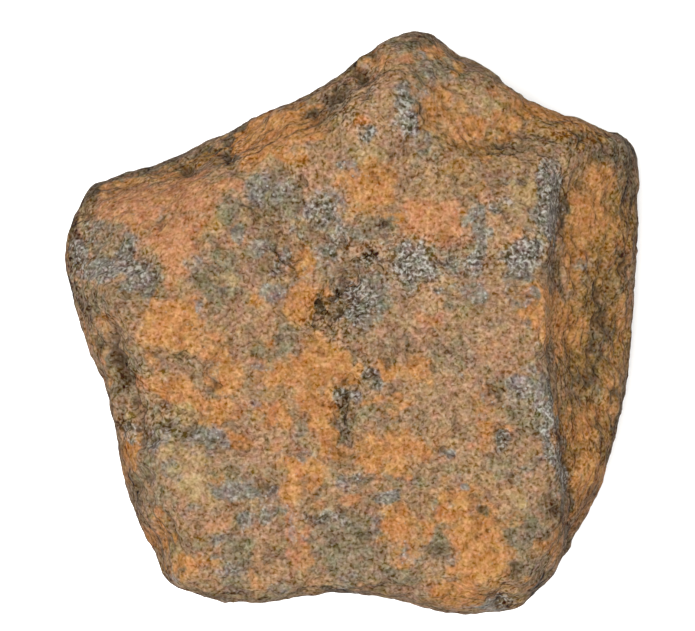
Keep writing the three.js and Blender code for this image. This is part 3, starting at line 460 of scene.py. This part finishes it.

# steep places inside the outline that get no painted shade, laid out like the stains
paleSteps = {
    0.5: [(31.2, 33.0, 6.3, 0.9, -18), (-42.0, -0.2, 2.2, 4.4, 15), (-16.4, -43.7, 7.1, 0.8),
          (-29.5, 23.1, 5.7, 1.6, 18)],
    0.6: [(30.5, -2.5, 1.9, 3.1), (30.3, 18.0, 1.9, 6.3), (14.0, 42.7, 2.5, 1.1, -37),
          (11.1, -43.9, 9.4, 0.9, -8), (39.5, -24.2, 0.9, 2.5, -25), (29.8, -37.0, 1.3, 1.3),
          (-18.4, -43.8, 2.5, 0.8), (26.7, 35.3, 2.2, 0.8, -35)],
    0.7: [(32.0, -14.3, 0.9, 1.9), (16.1, -43.9, 2.5, 0.9, -5)],
    0.8: [(31.9, -27.8, 1.3, 1.6), (-36.2, -1.4, 0.9, 1.9)],
    0.9: [(30.5, 3.7, 2.2, 4.5)],
}

# wavelength, noise shift and cover of each kind on the sides and the underside
wildStains = {
    "clay": (15.0, 75.5, 0.05),
    "salmon": (13.0, 3.1, 0.28),
    "umber": (11.0, 87.3, 0.05),
    "rust": (10.0, 11.7, 0.05),
    "olive": (9.0, 23.9, 0.08),
    "slate": (8.0, 37.3, 0.24),
    "tan": (7.0, 51.1, 0.38),
    "darkCrustAndShade": (6.0, 63.7, 0.20),
}

# how all of these are laid on the mesh
laying = {
    "patchEdge": (1.6, 0.4),  # a patch begins at the first and is whole at the second, in half widths
    "waver": (3.6, 91.0, 97.0),  # wavelength and noise shifts of what bends it, broad and fine
    "ripple": (1.3, 101.0, 103.0),
    "waverBend": 1.5,
    "rippleBend": 0.6,
    "seenTilt": (-0.02, 0.22),  # below the first, noise alone lays the stains
    "wildEdge": 0.2,  # how softly it does
    "wildBend": 0.15,
    "wildRough": (7.0, 133.0),  # wavelength and noise shift of rough places there
    "wildRoughEdge": (0.0, 0.5),
    "wildRoughShare": 0.8,
    "hollows": [(4, 0.12), (45, 0.55)],  # evening passes, and how far in counts as a full hollow
    "rimTilt": (0.70, 0.12),  # the painted shade on steep walls begins at the first and is full at the second
    "underTilt": (0.05, -0.3),  # and the painted shade grows paler underneath
    "underPale": 0.55,
}


# a soft hollow or bulge at one place of the plan
def hollowDepth(plan, x, y, radius, depth):
    far = np.hypot(plan[:, 0] - x, plan[:, 1] - y) / radius
    return depth * np.exp(-far * far * stone["hollowFall"])


# distance from each place of the plan to a line of corners
def lineDistance(plan, corners):
    nearest = np.full(len(plan), np.inf)
    for start, end in zip(corners[:-1], corners[1:]):
        begin, along = np.array(start), np.array(end) - np.array(start)
        share = np.clip((plan - begin) @ along / (along @ along), 0.0, 1.0)
        nearest = np.minimum(nearest, np.linalg.norm(plan - begin - share[:, None] * along, axis=1))
    return nearest


# how fully a set of patches covers each place of the plan
def stainCover(plan, patchesByShare):
    cover = np.zeros(len(plan))
    for share, patches in patchesByShare.items():
        for x, y, across, along, *turned in patches:
            turn = radians(turned[0]) if turned else 0.0
            c, s = cos(turn), sin(turn)
            dx, dy = plan[:, 0] - x, plan[:, 1] - y
            far = np.hypot((dx * c + dy * s) / across, (dy * c - dx * s) / along)
            cover = np.maximum(cover, smoothStep(*laying["patchEdge"], far) * share)
    return cover


# the plain stone, merged, split finer and with its facets rounded
def splitStone():
    shell = bmesh.new()
    shell.from_mesh(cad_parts[stone["node"]].data)
    bmesh.ops.remove_doubles(shell, verts=shell.verts, dist=stone["mergeWithin"] * mm)
    bmesh.ops.subdivide_edges(shell, edges=shell.edges, cuts=stone["cuts"], use_grid_fill=True)
    shell.normal_update()
    upper = {edge for face in shell.faces if face.normal.z > stone["upperTilt"] for edge in face.edges}
    bmesh.ops.subdivide_edges(shell, edges=list(upper), cuts=1, use_grid_fill=True)
    bmesh.ops.triangulate(shell, faces=[face for face in shell.faces if len(face.verts) > 3])
    passes, reach = stone["smoothing"]
    for _ in range(passes):
        bmesh.ops.smooth_vert(shell, verts=shell.verts, factor=reach,
                              use_axis_x=True, use_axis_y=True, use_axis_z=True)
    for face in shell.faces:
        face.smooth = True
    mesh = bpy.data.meshes.new(stone["name"])
    shell.to_mesh(mesh)
    shell.free()
    return mesh


def readMesh(mesh):
    places = np.empty(len(mesh.vertices) * 3)
    mesh.vertices.foreach_get("co", places)
    normals = np.empty(len(mesh.vertices) * 3)
    mesh.vertex_normals.foreach_get("vector", normals)
    return places.reshape(-1, 3) / mm, normals.reshape(-1, 3)


# positions evened out over a vertex's neighbours
def evenedOut(mesh, places, passes):
    ends = np.empty(len(mesh.edges) * 2, int)
    mesh.edges.foreach_get("vertices", ends)
    a, b = ends[0::2], ends[1::2]
    near, far = np.concatenate([a, b]), np.concatenate([b, a])
    count = np.bincount(near, minlength=len(places))
    for _ in range(passes):
        sums = [np.bincount(near, weights=places[far, axis], minlength=len(places)) for axis in range(3)]
        places = np.stack(sums, axis=1) / count[:, None]
    return places


# how far the relief stands proud of the plain stone, and how deep its pits and cracks are, in mm
def reliefOf(places, normals):
    plan, tilt = planOf(places), normals[:, 2]
    waver = waverAt(places, *stone["waver"])
    seen = smoothStep(*stone["seenTilt"], tilt)
    rise = np.zeros(len(places))
    for wavelength, height, shift, creased in stone["relief"]:
        layer = creasedAt if creased else noiseAt
        rise += layer(places, wavelength, shift) * height
    calm = 1.0 - stone["rimCalm"] * smoothStep(*stone["rimTilt"], np.abs(tilt))
    smoothPlace = stainCover(plan, stains["salmon"]) * seen
    rise *= calm * (1.0 - stone["salmonCalm"] * smoothPlace)
    for x, y, radius, height in stone["bulges"]:
        rise += hollowDepth(plan, x, y, radius, height)
    dug = np.zeros(len(places))
    for x, y, radius, depth in stone["hollows"]:
        dug = np.maximum(dug, hollowDepth(plan + stone["hollowBend"] * waver, x, y, radius, depth))
    whole = smoothStep(*stone["crackGapEdge"], noiseAt(places, *stone["crackGaps"]))
    width = stone["thinnest"] + (1.0 - stone["thinnest"]) * whole
    share = stone["shallowest"] + (1.0 - stone["shallowest"]) * whole
    for halfWidth, depth, corners in stone["cracks"]:
        far = lineDistance(plan + stone["crackBend"] * waver, corners) / (halfWidth * width)
        dug = np.maximum(dug, depth * share * np.exp(-far * far * stone["crackFall"]))
    dug *= seen
    foot = smoothStep(*stone["footTilt"], tilt)
    return rise - dug - stone["footLift"] * foot, dug


def addFloats(mesh, name, values):
    layer = mesh.attributes.new(name, "FLOAT", "POINT")
    layer.data.foreach_set("value", values.astype(np.float32))


# stains, rough, hollow and steep places kept on the mesh for the material, the steep ones as a mask of
# painted shade
def layStains(mesh, places, normals, dug):
    tilt = normals[:, 2]
    waver = waverAt(places, *laying["waver"])
    ripple = waverAt(places, *laying["ripple"])
    warped = planOf(places) + laying["waverBend"] * waver + laying["rippleBend"] * ripple
    seen = smoothStep(*laying["seenTilt"], tilt)
    edge = laying["wildEdge"]
    for name, patches in stains.items():
        wavelength, shift, cover = wildStains[name]
        level = noiseAt(places, wavelength, shift) + laying["wildBend"] * waver[:, 0]
        wild = smoothStep(cover - edge, cover + edge, level)
        addFloats(mesh, name, stainCover(warped, patches) * seen + wild * (1.0 - seen))
    wild = smoothStep(*laying["wildRoughEdge"], noiseAt(places, *laying["wildRough"]))
    wild *= laying["wildRoughShare"]
    addFloats(mesh, "rough", stainCover(warped, roughPlaces) * seen + wild * (1.0 - seen))
    hollow = np.zeros(len(places))
    for passes, full in laying["hollows"]:
        sunk = np.einsum("ij,ij->i", evenedOut(mesh, places, passes) - places, normals)
        hollow += np.clip(sunk / full, -1, 1) / len(laying["hollows"])
    addFloats(mesh, "hollow", hollow)
    addFloats(mesh, "dug", np.clip(dug, 0, 1))
    # painted shade on steep walls, weaker underneath and on the pale steps
    under = 1.0 - laying["underPale"] * smoothStep(*laying["underTilt"], tilt)
    pale = 1.0 - stainCover(warped, paleSteps) * seen
    addFloats(mesh, "steepShade", smoothStep(*laying["rimTilt"], tilt) * under * pale)


def addStone(finish):
    mesh = splitStone()
    places, normals = readMesh(mesh)
    rise, dug = reliefOf(places, normals)
    places = places + normals * rise[:, None]
    places[:, 2] = np.maximum(places[:, 2], 0.0)
    mesh.vertices.foreach_set("co", (places * mm).ravel())
    mesh.update()
    print("relief raised on", len(mesh.polygons), "triangles")
    places, normals = readMesh(mesh)
    layStains(mesh, places, normals, dug)
    mesh.materials.append(finish)
    piece = bpy.data.objects.new(stone["name"], mesh)
    bpy.context.scene.collection.objects.link(piece)
    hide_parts(stone["node"])
    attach(piece, "root")


crust = {
    "name": "weatheredCrust",
    # two tones of each kind of crust, as display colours of 0 to 255
    "ground": ((140, 113, 87), (181, 142, 102)),
    "clay": ((160, 122, 90), (187, 147, 113)),
    "olive": ((120, 105, 80), (152, 134, 107)),
    "tan": ((166, 136, 94), (191, 161, 115)),
    "salmon": ((175, 118, 78), (203, 147, 103)),
    "umber": ((134, 100, 56), (174, 130, 76)),
    "rust": ((177, 119, 65), (208, 150, 95)),
    "slate": ((113, 103, 91), (153, 143, 129)),
    # dark crust, also used as painted shade along the outline and in crevices
    "darkCrustAndShade": ((87, 71, 52), (122, 101, 75)),
    # the colour of the painted shade on steep walls
    "steepShade": (70, 48, 16),
    # the colour of the painted shade in hollows and pits
    "hollowShade": (70, 50, 32),
    # the colour of the painted glints
    "glint": (228, 226, 218),
    "strength": 0.435,  # albedo for a display value of 1
    # scale per metre, detail, roughness and distortion of each noise
    "ragged": (480, 3.0, 0.6, 0.2),
    "tones": (520, 2.0, 0.6, 0.0),
    "broad": (210, 5.0, 0.62, 0.3),
    "mottle": (620, 2.0, 0.5, 0.0),
    "small": (1050, 2.0, 0.6, 0.0),
    "fine": (2080, 0.5, 0.5, 0.5),
    "coarse": (620, 2.0, 0.6, 0.8),
    "flecks": 1500,  # scale per metre
    # two numbers are where a thing begins and is whole, and two more are its strength at each
    "stainEdge": (0.15, 0.85),
    "breakUp": 1.6,  # how ragged the edges of the stains are
    "toneEdge": (0.32, 0.68),
    "shiftStep": 3.7,  # sets each kind's noise apart from the last
    "mottleShare": 0.32,
    # painted shade on steep walls, as far as the broad noise lets it show
    "steepShadeShare": (0.3, 0.7, 0.38, 0.78),
    "smallShare": 0.3,  # of the grain; the rest is fine
    "steepLumps": 1.4,  # coarse grain on steep walls
    "tails": (7.0, 0.85),  # makes the darkest and lightest grains stand out
    "force": 0.9,  # of the grain, and what smooth crust and rough places add
    "smoothForce": -0.2,
    "roughForce": 0.95,
    "pitForce": (0.1, 0.7, 1.0, 0.6),
    "grain": (0.32, 0.68, 0.64, 1.39),  # ends with the darkest and the lightest grain
    "veil": 0.18,  # keeps the grain from graying the stains
    # painted shade in hollows and pits, broken up by the fine noise
    "creaseShade": (0.05, 0.8, 0.0, 0.45),
    "pitShade": 0.35,
    "shadeBreaks": (0.25, 0.6, 1.0, 0.6),
    # painted glints: pale flecks, and sparkle on slate crust
    "fleckEdge": (0.36, 0.14),
    "fleckFrom": 0.80,  # one fleck in five shows
    "fleckGlint": (0.35, 0.14),  # more on slate crust, and everywhere
    "sparkleEdge": (0.05, 0.16),
    "sparkle": (0.4, 0.12),  # more in rough places, and everywhere
    "roughness": (0.85, 0.5),  # dry crust, slate crust
    "sheen": 0.06,
    "bumpDepth": 0.2,  # mm
}


# a display colour of 0 to 255 as the linear colour that a shader takes
def linearColour(colour):
    parts = [v / 255 for v in colour]
    return (*[v / 12.92 if v <= 0.04045 else ((v + 0.055) / 1.055) ** 2.4 for v in parts], 1.0)


# adds a node, sets its properties, and links or sets its inputs
def addNode(tree, kind, settings=None, inputs=None):
    made = tree.nodes.new(kind)
    for key, value in (settings or {}).items():
        setattr(made, key, value)
    for key, value in (inputs or {}).items():
        if isinstance(value, bpy.types.NodeSocket):
            tree.links.new(value, made.inputs[key])
        else:
            made.inputs[key].default_value = value
    return made


def readFloats(tree, name):
    return addNode(tree, "ShaderNodeAttribute", {"attribute_name": name}).outputs["Fac"]


def mixColours(tree, share, first, second, blend="MIX"):
    settings = {"data_type": "RGBA", "blend_type": blend, "clamp_result": True}
    return addNode(tree, "ShaderNodeMix", settings, {0: share, 6: first, 7: second}).outputs[2]


def calculate(tree, operation, *values):
    return addNode(tree, "ShaderNodeMath", {"operation": operation}, dict(enumerate(values))).outputs[0]


def spread(tree, value, fromLow, fromHigh, toLow=0.0, toHigh=1.0, kind="SMOOTHSTEP"):
    made = addNode(tree, "ShaderNodeMapRange", {"interpolation_type": kind},
                   {0: value, 1: fromLow, 2: fromHigh, 3: toLow, 4: toHigh})
    return made.outputs[0]


def noiseNode(tree, place, name, shift=None):
    scale, detail, roughness, distortion = crust[name]
    inputs = {"Vector": place, "Scale": scale, "Detail": detail, "Roughness": roughness,
              "Distortion": distortion}
    if shift is None:
        return addNode(tree, "ShaderNodeTexNoise", {"noise_dimensions": "3D"}, inputs)
    return addNode(tree, "ShaderNodeTexNoise", {"noise_dimensions": "4D"}, {**inputs, "W": shift})


# a stain with its own ragged edge and two tones, laid over the colour under it
def stainGroup():
    group = bpy.data.node_groups.new("raggedStain", "ShaderNodeTree")
    for name, kind in (("Under", "NodeSocketColor"), ("Stain", "NodeSocketFloat"),
                       ("Place", "NodeSocketVector"), ("Shift", "NodeSocketFloat"),
                       ("Dark tone", "NodeSocketColor"), ("Light tone", "NodeSocketColor")):
        group.interface.new_socket(name, in_out="INPUT", socket_type=kind)
    group.interface.new_socket("Colour", in_out="OUTPUT", socket_type="NodeSocketColor")
    group.interface.new_socket("Mask", in_out="OUTPUT", socket_type="NodeSocketFloat")
    start = group.nodes.new("NodeGroupInput").outputs
    end = group.nodes.new("NodeGroupOutput").inputs
    breakUp = crust["breakUp"]
    ragged = noiseNode(group, start["Place"], "ragged", start["Shift"]).outputs["Fac"]
    ragged = calculate(group, "MULTIPLY_ADD", ragged, breakUp, -0.5 * breakUp)
    mask = spread(group, calculate(group, "ADD", start["Stain"], ragged), *crust["stainEdge"])
    blend = noiseNode(group, start["Place"], "tones", start["Shift"]).outputs["Fac"]
    blend = spread(group, blend, *crust["toneEdge"])
    tone = mixColours(group, blend, start["Dark tone"], start["Light tone"])
    group.links.new(mixColours(group, mask, start["Under"], tone), end["Colour"])
    group.links.new(mask, end["Mask"])
    return group


# the grain's level around 0, and the grain at the force that each place gives it
def addGrain(tree, noises, floats, masks):
    fine = calculate(tree, "MULTIPLY", noises["fine"], 1.0 - crust["smallShare"])
    level = calculate(tree, "MULTIPLY_ADD", noises["small"], crust["smallShare"], fine)
    level = calculate(tree, "SUBTRACT", level, 0.5)
    lump = calculate(tree, "MULTIPLY", calculate(tree, "SUBTRACT", noises["coarse"], 0.5), floats["steepShade"])
    level = calculate(tree, "MULTIPLY_ADD", lump, crust["steepLumps"], level)
    tails = calculate(tree, "MULTIPLY_ADD", calculate(tree, "MULTIPLY", level, level), *crust["tails"])
    smooth = calculate(tree, "MAXIMUM", masks["salmon"], masks["tan"])
    smooth = calculate(tree, "MAXIMUM", masks["rust"], smooth)
    force = calculate(tree, "MULTIPLY_ADD", smooth, crust["smoothForce"], crust["force"])
    force = calculate(tree, "MULTIPLY_ADD", floats["rough"], crust["roughForce"], force)
    force = calculate(tree, "MULTIPLY", force, spread(tree, floats["dug"], *crust["pitForce"]))
    return level, calculate(tree, "MULTIPLY_ADD", calculate(tree, "MULTIPLY", level, tails), force, 0.5)


# how much painted pale glint shows: single flecks, and painted sparkle on slate crust
def addGlint(tree, place, level, rough, slate):
    cells = addNode(tree, "ShaderNodeTexVoronoi", {"feature": "F1"},
                    {"Vector": place, "Scale": crust["flecks"]}).outputs
    pick = addNode(tree, "ShaderNodeSeparateColor", None, {0: cells["Color"]}).outputs[1]
    fleck = calculate(tree, "MULTIPLY", spread(tree, cells["Distance"], *crust["fleckEdge"]),
                      calculate(tree, "GREATER_THAN", pick, crust["fleckFrom"]))
    glint = calculate(tree, "MULTIPLY_ADD", slate, *crust["fleckGlint"])
    glint = calculate(tree, "MULTIPLY", fleck, glint)
    sparkle = calculate(tree, "MULTIPLY", spread(tree, level, *crust["sparkleEdge"]), slate)
    force = calculate(tree, "MULTIPLY_ADD", rough, *crust["sparkle"])
    return calculate(tree, "MAXIMUM", glint, calculate(tree, "MULTIPLY", sparkle, force))


def crustMaterial():
    material = bpy.data.materials.new(crust["name"])
    material.use_nodes = True
    tree = material.node_tree
    shader = tree.nodes["Principled BSDF"]
    place = addNode(tree, "ShaderNodeTexCoord").outputs["Object"]
    noises = {name: noiseNode(tree, place, name).outputs["Fac"]
              for name in ("broad", "small", "fine", "coarse")}
    mottle = noiseNode(tree, place, "mottle").outputs["Color"]
    floats = {name: readFloats(tree, name) for name in ("steepShade", "dug", "rough", "hollow")}

    # ground, stains, mottle and painted shade on steep walls
    group = stainGroup()
    dark, light = (linearColour(tone) for tone in crust["ground"])
    colour = mixColours(tree, spread(tree, noises["broad"], *crust["toneEdge"]), dark, light)
    masks = {}
    for number, name in enumerate(stains):
        dark, light = (linearColour(tone) for tone in crust[name])
        made = addNode(tree, "ShaderNodeGroup", {"node_tree": group},
                       {"Under": colour, "Stain": readFloats(tree, name), "Place": place,
                        "Shift": crust["shiftStep"] * number, "Dark tone": dark, "Light tone": light})
        colour, masks[name] = made.outputs["Colour"], made.outputs["Mask"]
    colour = mixColours(tree, crust["mottleShare"], colour, mottle, "SOFT_LIGHT")
    steepShade = calculate(tree, "MULTIPLY", floats["steepShade"], spread(tree, noises["broad"], *crust["steepShadeShare"]))
    colour = mixColours(tree, steepShade, colour, linearColour(crust["steepShade"]))

    # grain, painted shade in hollow places, painted pale glints
    level, grain = addGrain(tree, noises, floats, masks)
    tone = spread(tree, grain, *crust["grain"], "LINEAR")
    shade = addNode(tree, "ShaderNodeCombineColor", None, {0: tone, 1: tone, 2: tone}).outputs[0]
    veil = (*[crust["veil"]] * 3, 1.0)
    for second, blend in ((veil, "ADD"), (shade, "MULTIPLY"), (veil, "SUBTRACT")):
        colour = mixColours(tree, 1.0, colour, second, blend)
    # painted shade in hollows and in the dug pits and cracks
    hollowShade = calculate(tree, "ADD", spread(tree, floats["hollow"], *crust["creaseShade"]),
                     calculate(tree, "MULTIPLY", floats["dug"], crust["pitShade"]))
    hollowShade = calculate(tree, "MULTIPLY", hollowShade, spread(tree, noises["fine"], *crust["shadeBreaks"]))
    colour = mixColours(tree, hollowShade, colour, linearColour(crust["hollowShade"]))
    glint = addGlint(tree, place, level, floats["rough"], masks["slate"])
    colour = mixColours(tree, glint, colour, linearColour(crust["glint"]))
    strength = (*[crust["strength"]] * 3, 1.0)
    tree.links.new(mixColours(tree, 1.0, colour, strength, "MULTIPLY"), shader.inputs["Base Color"])

    shader.inputs["Specular IOR Level"].default_value = crust["sheen"]
    roughness = spread(tree, masks["slate"], 0.0, 1.0, *crust["roughness"], "LINEAR")
    tree.links.new(roughness, shader.inputs["Roughness"])
    bump = addNode(tree, "ShaderNodeBump", None,
                   {"Strength": 1.0, "Distance": crust["bumpDepth"] * mm, "Height": grain})
    tree.links.new(bump.outputs[0], shader.inputs["Normal"])
    return material


addStone(crustMaterial())
print("stone dressed")


studio = {
    "tableRadius": 4000.0,
    "tableSides": 96,
    "tableDrop": 0.02,  # keeps it just under the stone
    "tableColour": (0.95, 0.95, 0.94),
    "tableRoughness": 0.9,
    "tableSheen": 0.1,
    "sky": (1.0, 1.0, 1.0),
    "skyStrength": 0.62,
    "lampPlace": (-130.0, -40.0, 800.0),
    "lampSize": 480.0,
    "lampPower": 12.4,  # watts
}


def addTable():
    sheet = bmesh.new()
    bmesh.ops.create_circle(sheet, cap_ends=True, segments=studio["tableSides"],
                            radius=studio["tableRadius"] * mm)
    mesh = bpy.data.meshes.new("table")
    sheet.to_mesh(mesh)
    sheet.free()
    material = bpy.data.materials.new("paleTable")
    material.use_nodes = True
    shader = material.node_tree.nodes["Principled BSDF"]
    shader.inputs["Base Color"].default_value = (*studio["tableColour"], 1.0)
    shader.inputs["Roughness"].default_value = studio["tableRoughness"]
    shader.inputs["Specular IOR Level"].default_value = studio["tableSheen"]
    mesh.materials.append(material)
    table = bpy.data.objects.new("table", mesh)
    table.location.z = -studio["tableDrop"] * mm
    bpy.context.scene.collection.objects.link(table)


def addSky():
    world = bpy.data.worlds.new("paleStudio")
    world.use_nodes = True
    sky = world.node_tree.nodes["Background"]
    sky.inputs["Color"].default_value = (*studio["sky"], 1.0)
    sky.inputs["Strength"].default_value = studio["skyStrength"]
    bpy.context.scene.world = world


def addLamp():
    light = bpy.data.lights.new("softKey", "AREA")
    light.shape = "DISK"
    light.size = studio["lampSize"] * mm
    light.energy = studio["lampPower"]
    lamp = bpy.data.objects.new("softKey", light)
    lamp.location = Vector(studio["lampPlace"]) * mm
    lamp.rotation_euler = (-lamp.location).to_track_quat("-Z", "Y").to_euler()
    bpy.context.scene.collection.objects.link(lamp)


addTable()
addSky()
addLamp()
bpy.context.scene.view_settings.view_transform = "Standard"
print("table and lamp placed")
